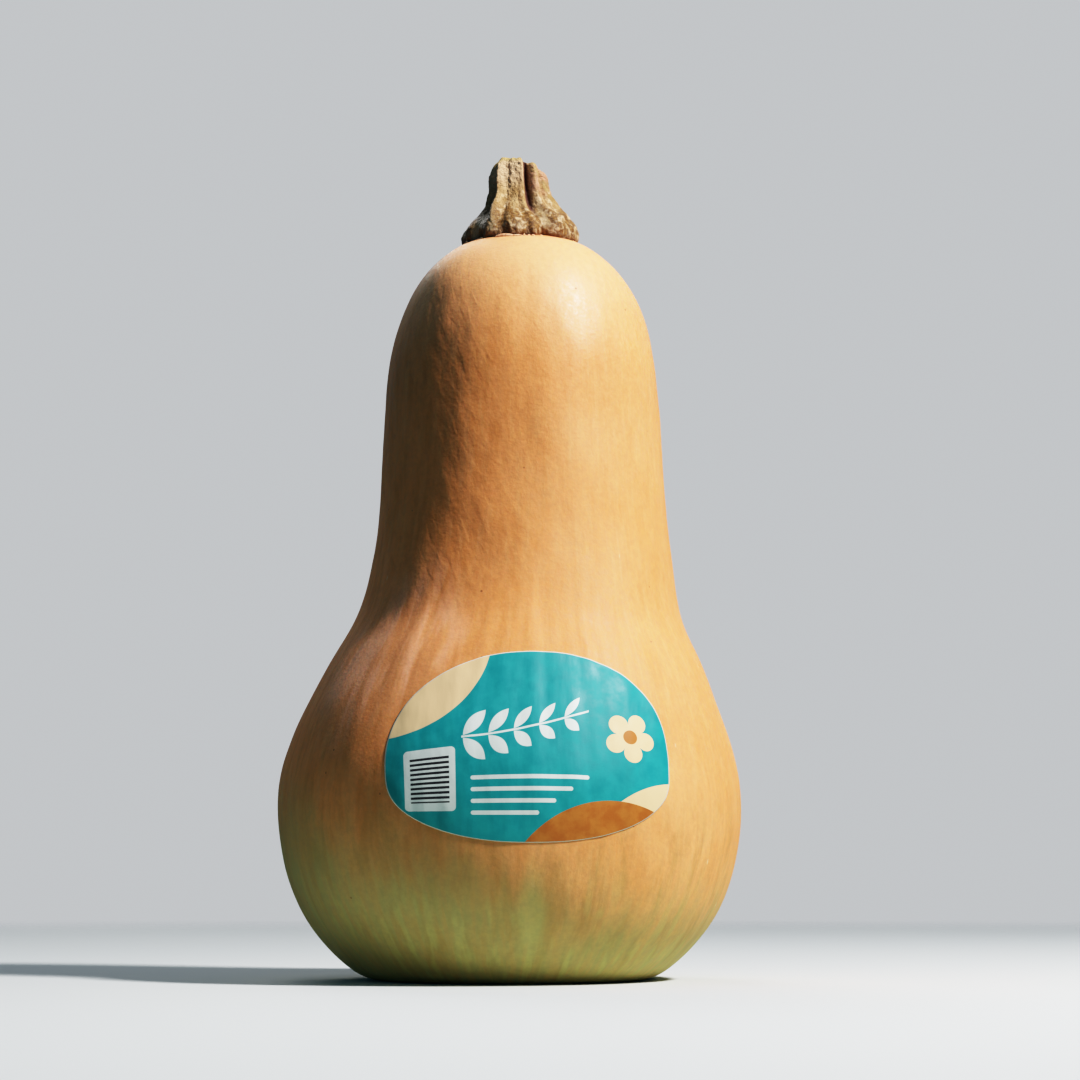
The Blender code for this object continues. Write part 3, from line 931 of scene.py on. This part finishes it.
# Torn bits of skin round the stem's foot: (direction, length, height) of the two large ones in
# front, and the number and sizes of the small ones.
LARGE_FLAKES = [(-15, 5.6 * MM, 0.8 * MM), (-3, 3.4 * MM, 0.5 * MM)]
SMALL_FLAKES = 26
SMALL_FLAKE_LENGTH = (0.5 * MM, 1.7 * MM)
SMALL_FLAKE_HEIGHT = (0.3 * MM, 0.6 * MM)
FLAKE_THICKNESS = 0.16 * MM
FLAKE_RADIUS = 14.6 * MM
FLAKE_STEPS = 10
FLAKE_WAVE = 0.25 * MM
FLAKE_SINK = 0.15 * MM
FLAKE_LOWEST = 0.06 * MM
LARGE_FLAKE_LIFT = 0.6 * MM
FLAKE_PINK = (0.74, 0.33, 0.17)
FLAKE_PALE = (0.94, 0.62, 0.38)


def flake_material():
    paint = Paint("torn_skin")
    place = paint.node("ShaderNodeTexCoord", {}, "Object")
    specks = paint.noise(place, 1500.0, 3.0, 0.6)
    paint.colour = paint.mix((specks, 0.35, 0.65), FLAKE_PINK, FLAKE_PALE)
    normal = paint.bump(specks, 0.1 * MM)
    return paint.finish(Roughness=0.6, Normal=normal, Specular_IOR_Level=0.4)


def flake_points(direction, length, height, lift):
    """A bent strip's cross-sections, each of four corners, on the seam round the foot."""
    share = np.linspace(-1, 1, FLAKE_STEPS)
    angle = math.radians(direction - 90) + share * length / 2 / FLAKE_RADIUS
    tall = height * (1 - share**2) ** 0.6 + FLAKE_LOWEST
    wave = noise_at(share * 1.7, direction, 0.5) * FLAKE_WAVE
    sections = []
    for inward, up in ((0, 0), (-0.25, 1), (-0.25, 1), (0, 0)):
        back = len(sections) >= 2
        radius = FLAKE_RADIUS + wave * up + inward * tall + lift - back * FLAKE_THICKNESS
        x = STEM_CENTRE[0] + np.cos(angle) * radius
        y = STEM_CENTRE[1] + np.sin(angle) * radius
        seat = crown_height(np.hypot(x - LEAN_RIGHT, y - LEAN_BACK))
        sections.append(np.stack([x, y, seat - FLAKE_SINK + up * tall], -1))
    return np.stack(sections, axis=1)


def make_flakes():
    """Small bits of torn pinkish skin that stick to the seam between fruit and stem."""
    rng = np.random.default_rng(7)
    flakes = [(*flake, LARGE_FLAKE_LIFT) for flake in LARGE_FLAKES]
    for _ in range(SMALL_FLAKES):
        direction = rng.uniform(0, 360)
        length = rng.uniform(*SMALL_FLAKE_LENGTH)
        height = rng.uniform(*SMALL_FLAKE_HEIGHT)
        flakes.append((direction, length, height, rng.uniform(0.0, 0.5) * MM))
    points, faces = [], []
    for flake in flakes:
        first = len(points)
        points += flake_points(*flake).reshape(-1, 3).tolist()
        faces += grid_faces(FLAKE_STEPS, 4, first)
        last = first + 4 * (FLAKE_STEPS - 1)
        faces += [
            [first + 3, first + 2, first + 1, first],
            [last, last + 1, last + 2, last + 3],
        ]
    mesh = bpy.data.meshes.new("skin_flakes")
    mesh.from_pydata(points, [], faces)
    mesh.shade_smooth()
    return add_piece("skin_flakes", mesh, flake_material(), "skin")


# The label's paper: how far it stands off the skin, its thickness, its crinkles, the slight
# ripples of its edge and the share of its size at which these begin.
PAPER_GAP = 0.04 * MM
PAPER_THICKNESS = 0.17 * MM
CRINKLE_HEIGHT = 0.08 * MM
EDGE_RIPPLE = 0.18 * MM
EDGE_RIPPLE_FROM = 0.72
PAPER_BUMP_HEIGHT = 0.4 * MM

# The label's print, in millimetres on the flat paper, from the middle of its widest line. The
# discs are (centre, radius), and the lines are (centre, half their length).
TEAL = (0.008, 0.32, 0.34)
DEEP_TEAL = (0.006, 0.27, 0.30)
WHITE = (0.76, 0.80, 0.78)
CREAM = (0.90, 0.63, 0.36)
AMBER = (0.50, 0.175, 0.03)
DEEP_AMBER = (0.42, 0.125, 0.02)
INK = (0.025, 0.022, 0.028)
PAPER_EDGE = (0.72, 0.70, 0.62)
PRINT_SOFTNESS = 0.06
HILL = ((19.0, -35.0), 27.0)
FAR_HILL = ((40.0, -33.0), 31.0)
SUN = ((-33.0, 33.0), 23.0)
FLOWER_CENTRE = (24.0, 8.5)
FLOWER_RADIUS = 6.6
FLOWER_HEART_RADIUS = 1.8
FLOWER_NOTCH = 0.48
PETALS = 5
PETAL_TURN = 0.3
PETAL_ROUNDNESS = 0.55
SPRIG_START = (-16.5, 7.6)
SPRIG_BEND = 0.007
SPRIG_TAPER = 1.55
LEAF_PAIRS = 5
LEAF_PITCH = 6.0
LEAF_LENGTH = 8.2
LEAF_WIDTH = 3.4
LEAF_MIDDLE = 1.12
LEAF_SLANT = math.radians(48)
LINES = [
    ((-0.5, -2.6), 14.0), ((-2.5, -5.4), 12.0), ((-4.5, -8.2), 10.0), ((-6.5, -11.0), 8.0),
]
LINE_HALF_HEIGHT = 0.5
PANEL_CENTRE = (-24.2, -2.6)
PANEL_HALF = (6.2, 8.0)
PANEL_CORNER = 1.1
BARS_HALF = (4.7, 5.9)
BARS_CORNER = 0.1
BAR_PITCH = 1.25


def label_edge(angle):
    """The flat label's outline as (across, up) from the middle of its widest line."""
    across, up = np.cos(angle), np.sin(angle)
    power = np.where(up > 0, LABEL_TOP_SQUARENESS, LABEL_BOTTOM_SQUARENESS)
    half_height = np.where(up > 0, LABEL_ABOVE, LABEL_BELOW)
    scale = (np.abs(across) ** power + np.abs(up) ** power) ** (-1 / power)
    return LABEL_HALF_WIDTH * across * scale, half_height * up * scale


def on_skin(across, up, lift):
    """Where points of the flat label lie once it is smoothed onto the skin."""
    along = LABEL_MIDDLE + up
    step = 1 * MM
    radius = np.interp(along, SKIN_ALONG, SKIN_LINE[:, 1])
    narrowing = (np.interp(along + step, SKIN_ALONG, SKIN_LINE[:, 1]) - radius) / step
    along = along + across**2 / 2 * narrowing / radius
    angle = LABEL_DIRECTION + across / radius
    points, out = skin_surface(angle, along)
    lift = lift + skin_relief(angle, along)
    return points + out * lift[..., None]


def inside_of(paint, distance, radius):
    """1 where the distance is below the radius, with the print's slightly soft edge."""
    return paint.rise(distance, radius + PRINT_SOFTNESS, radius - PRINT_SOFTNESS)


def box_mask(paint, centre, half, corner):
    """1 inside an upright box with round corners."""
    offset = paint.vector("SUBTRACT", paint.place, (*centre, 0))
    offset = paint.vector("ABSOLUTE", offset)
    offset = paint.vector("SUBTRACT", offset, (half[0] - corner, half[1] - corner, 0))
    offset = paint.vector("MAXIMUM", offset, (0, 0, 0))
    return inside_of(paint, paint.length(offset), corner)


def disc_mask(paint, centre, radius):
    offset = paint.vector("SUBTRACT", paint.place, (*centre, 0))
    return inside_of(paint, paint.length(offset), radius)


def flower_mask(paint):
    """1 inside the flower with round petals."""
    offset = paint.vector("SUBTRACT", paint.place, (*FLOWER_CENTRE, 0))
    angle = paint.math("ARCTAN2", paint.axis(offset, 1), paint.axis(offset, 0))
    wave = paint.math("COSINE", paint.total(paint.product(angle, PETALS / 2), PETAL_TURN))
    petal = paint.math("POWER", paint.math("ABSOLUTE", wave), PETAL_ROUNDNESS)
    reach = paint.product(petal, FLOWER_RADIUS * (1 - FLOWER_NOTCH))
    reach = paint.total(reach, FLOWER_RADIUS * FLOWER_NOTCH)
    return inside_of(paint, paint.math("SUBTRACT", paint.length(offset), reach), 0)


def sprig_mask(paint):
    """1 on a bent twig with pairs of pointed leaves, which get smaller along it."""
    offset = paint.vector("SUBTRACT", paint.place, (*SPRIG_START, 0))
    along = paint.axis(offset, 0)
    end = LEAF_PITCH * LEAF_PAIRS
    inside = paint.product((along, -0.1, 0.0), (along, end + 0.1, end))
    arch = paint.product(along, along, SPRIG_BEND)
    away = paint.math("ABSOLUTE", paint.math("SUBTRACT", paint.axis(offset, 1), arch))
    shrink = paint.rise(along, 0, end, 1.0, SPRIG_TAPER)
    from_joint = paint.product(paint.math("FLOORED_MODULO", along, LEAF_PITCH), shrink)
    raised = paint.product(away, shrink)
    cos, sin = math.cos(LEAF_SLANT), math.sin(LEAF_SLANT)
    lengthwise = paint.total(paint.product(from_joint, cos), paint.product(raised, sin))
    crosswise = paint.math("SUBTRACT", paint.product(raised, cos), paint.product(from_joint, sin))
    middle = paint.math("DIVIDE", lengthwise, LEAF_LENGTH / 2)
    middle = paint.math("SUBTRACT", middle, LEAF_MIDDLE)
    width = paint.math("DIVIDE", paint.math("ABSOLUTE", crosswise), LEAF_WIDTH / 2)
    leaves = inside_of(paint, paint.total(width, paint.product(middle, middle)), 1)
    twig = paint.rise(away, 0.32, 0.2)
    return paint.largest(paint.product(leaves, inside), paint.product(twig, inside))


def label_ground(paint, worn):
    """A teal ground with a sun and two hills, slightly worn."""
    paint.colour = paint.mix((worn, 0.3, 0.7), DEEP_TEAL, TEAL)
    paint.cover(CREAM, disc_mask(paint, *SUN))
    paint.cover(CREAM, disc_mask(paint, *FAR_HILL))
    amber = paint.mix((worn, 0.35, 0.65), DEEP_AMBER, AMBER)
    paint.cover(amber, disc_mask(paint, *HILL))


def label_motifs(paint):
    """A flower, a leafy sprig, four plain lines and a panel of even bars."""
    paint.cover(CREAM, flower_mask(paint))
    paint.cover(AMBER, disc_mask(paint, FLOWER_CENTRE, FLOWER_HEART_RADIUS))
    paint.cover(WHITE, sprig_mask(paint))
    for centre, half_length in LINES:
        half = (half_length, LINE_HALF_HEIGHT)
        paint.cover(WHITE, box_mask(paint, centre, half, LINE_HALF_HEIGHT))
    paint.cover(WHITE, box_mask(paint, PANEL_CENTRE, PANEL_HALF, PANEL_CORNER))
    wave = paint.math("SINE", paint.product(paint.axis(paint.place, 1), 2 * math.pi / BAR_PITCH))
    area = box_mask(paint, PANEL_CENTRE, BARS_HALF, BARS_CORNER)
    paint.cover(INK, (wave, -0.12, 0.12), area)


def label_normal(paint):
    """Crinkles, finer folds and fibres of the paper."""
    crinkles = paint.vector("MULTIPLY", paint.place, (0.11, 0.06, 1.0))
    crinkles = paint.noise(crinkles, 1.0, 2.0, 0.45, 0.4)
    folds = paint.noise(paint.vector("MULTIPLY", paint.place, (0.34, 0.09, 1.0)), 1.0, 2.0, 0.4)
    fibres = paint.noise(paint.place, 2.6, 3.0, 0.6)
    relief = paint.total(crinkles, paint.product(folds, 0.3), paint.product(fibres, 0.03))
    return paint.bump(relief, PAPER_BUMP_HEIGHT)


def label_material():
    paint = Paint("label_paper")
    paint.place = paint.stored("flat", "Vector")
    worn = paint.noise(paint.place, 0.22, 4.0, 0.6)
    label_ground(paint, worn)
    label_motifs(paint)
    paint.cover(PAPER_EDGE, (paint.stored("share"), 0.988, 0.996))
    rough = (worn, 0.3, 0.7, 0.46, 0.60)
    return paint.finish(Roughness=rough, Normal=label_normal(paint), Specular_IOR_Level=0.35)


def make_label():
    """A thin sheet of paper that hugs the skin, with slight ripples at its edge."""
    face_shares = [*np.linspace(0, 0.985, LABEL_RINGS)[1:], 0.992, 1.0]
    back_shares = [1.0, *np.linspace(1.0, 0, LABEL_BACK_RINGS, endpoint=False)[1:]]
    shares = np.array(face_shares + back_shares)
    lifts = np.full(len(shares), PAPER_GAP)
    lifts[: len(face_shares)] += PAPER_THICKNESS
    lifts[len(face_shares) - 1] -= PAPER_THICKNESS * 0.35
    lifts[len(face_shares)] += PAPER_THICKNESS * 0.3
    turn = np.arange(LABEL_SEGMENTS) * 2 * math.pi / LABEL_SEGMENTS
    angle, share = np.meshgrid(turn, shares)
    across, up = label_edge(angle)
    across, up = across * share, up * share
    ripple = round_noise(angle, 3.4, 5.0)
    crinkle = noise_at(across / (7 * MM), up / (15 * MM), 2.0)
    raised = EDGE_RIPPLE * np.clip(ripple, 0, 1) * smoothstep(share, EDGE_RIPPLE_FROM, 1)
    raised = raised + CRINKLE_HEIGHT * np.clip(crinkle, 0, 1)
    points = on_skin(across, up, lifts[:, None] + raised)
    poles = on_skin(np.zeros(2), np.zeros(2), np.array([PAPER_GAP + PAPER_THICKNESS, PAPER_GAP]))
    mesh = turned_mesh("paper_label", points, poles)
    mesh.flip_normals()
    flat = np.stack([across, up, np.zeros_like(up)], -1) / MM
    add_values(mesh, "flat", flat, np.zeros((2, 3)))
    add_values(mesh, "share", share, [0, 0])
    return add_piece("paper_label", mesh, label_material(), "label", "label")


def make_floor():
    paint = Paint("pale_floor")
    place = paint.node("ShaderNodeTexCoord", {}, "Object")
    distance = paint.length(place)
    bounce = paint.mix((distance, BOUNCE_FROM, BOUNCE_TO), BOUNCE_NEAR, BOUNCE_FAR)
    seen = paint.node("ShaderNodeLightPath", {}, "Is Camera Ray")
    paint.colour = paint.mix(seen, bounce, FLOOR_COLOUR)
    shown = (distance, FLOOR_RADIUS, FLOOR_RADIUS - FLOOR_FADE)
    material = paint.finish(Roughness=0.9, Alpha=shown)
    bpy.ops.mesh.primitive_circle_add(vertices=96, radius=FLOOR_RADIUS, fill_type="NGON")
    floor = bpy.context.object
    floor.name = "pale_floor"
    floor.data.materials.append(material)


def add_aimed(name, data, place, target):
    """A camera or lamp that looks from its place at a target."""
    made = bpy.data.objects.new(name, data)
    bpy.context.scene.collection.objects.link(made)
    made.location = place
    made.rotation_mode = "QUATERNION"
    made.rotation_quaternion = (Vector(target) - Vector(place)).to_track_quat("-Z", "Y")
    return made


def add_lamp(name, direction, distance, height, width, watts, colour):
    lamp = bpy.data.lights.new(name, "AREA")
    lamp.shape = "DISK"
    lamp.size = width
    lamp.energy = watts
    lamp.color = colour
    turn = math.radians(direction)
    place = (math.sin(turn) * distance, -math.cos(turn) * distance, height)
    holder = add_aimed(name, lamp, place, (0, 0, LAMP_TARGET_HEIGHT))
    holder.visible_camera = False


def make_light():
    for lamp in LAMPS:
        add_lamp(*lamp)
    room = bpy.data.worlds.new("studio_room")
    room.use_nodes = True
    nodes, links = room.node_tree.nodes, room.node_tree.links
    seen = nodes.new("ShaderNodeLightPath").outputs["Is Camera Ray"]
    colour = nodes.new("ShaderNodeMix")
    colour.data_type = "RGBA"
    colour.inputs[6].default_value = (*ROOM_FILL, 1)
    colour.inputs[7].default_value = (*BACKDROP, 1)
    links.new(seen, colour.inputs[0])
    links.new(colour.outputs[2], nodes["Background"].inputs["Color"])
    bpy.context.scene.world = room


def make_camera():
    camera = bpy.data.cameras.new("camera")
    camera.lens = CAMERA_LENS
    camera.clip_start = 0.01
    target = (CAMERA_PLACE[0], 0, CAMERA_AIM_HEIGHT)
    bpy.context.scene.camera = add_aimed("camera", camera, CAMERA_PLACE, target)


def set_tones():
    view = bpy.context.scene.view_settings
    view.view_transform = "Standard"
    view.use_curve_mapping = True
    tones = view.curve_mapping
    brightest = TONES[-1][0]
    tones.white_level = (brightest, brightest, brightest)
    curve = tones.curves[3]
    for light, picture in TONES[1:-1]:
        curve.points.new(light / brightest, picture)
    tones.update()


make_camera()
make_light()
make_floor()
make_skin()
make_stem()
make_flakes()
make_label()
set_tones()
